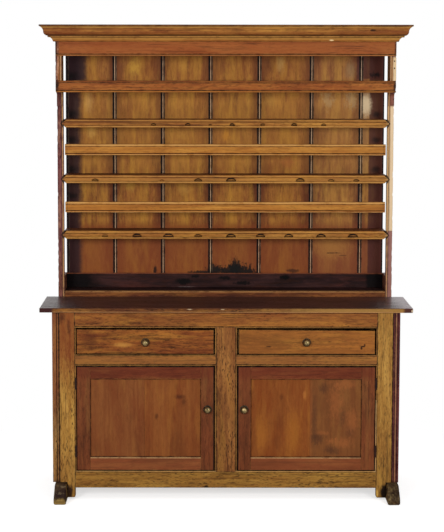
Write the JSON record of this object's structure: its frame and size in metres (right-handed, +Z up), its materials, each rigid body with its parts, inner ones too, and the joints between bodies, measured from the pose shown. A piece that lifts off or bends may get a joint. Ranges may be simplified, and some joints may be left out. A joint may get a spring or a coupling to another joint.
{
  "type": "dresser",
  "caption": "Country pine dresser: a cupboard base with drawers over panelled doors on sledge feet, a dark counter, and an open plate rack with guard rails and a cornice.",
  "frame": {"origin": "middle of the dresser's outer box on the floor", "axes": "+X to the dresser's right as seen from the front, +Y from the front to the back, +Z up"},
  "size_m": [1.664, 0.584, 2.099],
  "materials": {
    "pine_frame": "old waxed pine, golden brown with dark specks and knots",
    "pine_drawer": "old waxed pine, satin",
    "pine_door": "old waxed pine, darker red brown, satin",
    "pine_inner": "bare aged pine, dry and matt",
    "pine_rack": "old waxed pine, golden, worn at the edges",
    "pine_back": "old waxed pine boards, mottled golden and red brown",
    "pine_cornice": "old waxed pine, red brown, satin",
    "counter": "dark polished pine, high gloss, with a worn golden edge",
    "plinth": "near black stained pine, matt",
    "foot": "dark worn pine, dry and rough",
    "brass": "dulled brass with a soft shine",
    "iron": "dark rusted iron"
  },
  "bodies": {
    "carcass": {"base_back_boards": "pine_inner", "bottom_rail": "pine_frame", "canopy_rail": "pine_rack", "centre_muntin": "pine_frame", "cornice_front": "pine_cornice", "cornice_sides": "pine_cornice", "counter_top": "counter", "cupboard_floor": "pine_inner", "cupboard_shelf": "pine_inner", "drawer_guides_and_stops": "pine_inner", "drawer_runners": "pine_inner", "dust_board": "pine_inner", "face_stile_left": "pine_frame", "face_stile_right": "pine_frame", "frame_hinge_leaves": "iron", "frieze": "pine_cornice", "guard_rail_lower": "pine_rack", "guard_rail_middle": "pine_rack", "hinge_pins": "iron", "mid_rails": "pine_frame", "opening_beads": "pine_frame", "rack_back_boards": "pine_back", "rack_end_boards": "pine_rack", "rack_floor": "pine_rack", "rack_plinth": "plinth", "rack_post_left": "pine_rack", "rack_post_right": "pine_rack", "rack_sill": "pine_rack", "shelf_cleats": "pine_inner", "shelf_edge_lower": "pine_rack", "shelf_edge_middle": "pine_rack", "shelf_edge_upper": "pine_rack", "shelf_lower": "pine_rack", "shelf_middle": "pine_rack", "shelf_upper": "pine_rack", "side_left": "pine_frame", "side_right": "pine_frame", "sledge_foot_left": "foot", "sledge_foot_right": "foot", "top_rail": "pine_frame"},
    "drawer_left": {"drawer_left_back": "pine_inner", "drawer_left_bottom": "pine_inner", "drawer_left_front": "pine_drawer", "drawer_left_knob": "brass", "drawer_left_sides": "pine_inner"},
    "drawer_right": {"drawer_right_back": "pine_inner", "drawer_right_bottom": "pine_inner", "drawer_right_front": "pine_drawer", "drawer_right_knob": "brass", "drawer_right_sides": "pine_inner"},
    "door_left": {"door_left_hinge_leaves": "iron", "door_left_knob": "brass", "door_left_panel": "pine_door", "door_left_rails": "pine_door", "door_left_stiles": "pine_door"},
    "door_right": {"door_right_hinge_leaves": "iron", "door_right_knob": "brass", "door_right_panel": "pine_door", "door_right_rails": "pine_door", "door_right_stiles": "pine_door"}
  },
  "joints": [
    {"name": "drawer_left_slide", "type": "slide", "parent": "carcass", "child": "drawer_left", "axis": [0, -1, 0], "range_m": [0, 0.32]},
    {"name": "drawer_right_slide", "type": "slide", "parent": "carcass", "child": "drawer_right", "axis": [0, -1, 0], "range_m": [0, 0.32]},
    {"name": "door_left_hinge", "type": "hinge", "parent": "carcass", "child": "door_left", "pos_m": [-0.6615, -0.2, 0.3705], "axis": [0, 0, -1], "range_deg": [0, 170]},
    {"name": "door_right_hinge", "type": "hinge", "parent": "carcass", "child": "door_right", "pos_m": [0.6615, -0.2, 0.3705], "axis": [0, 0, 1], "range_deg": [0, 170]}
  ]
}
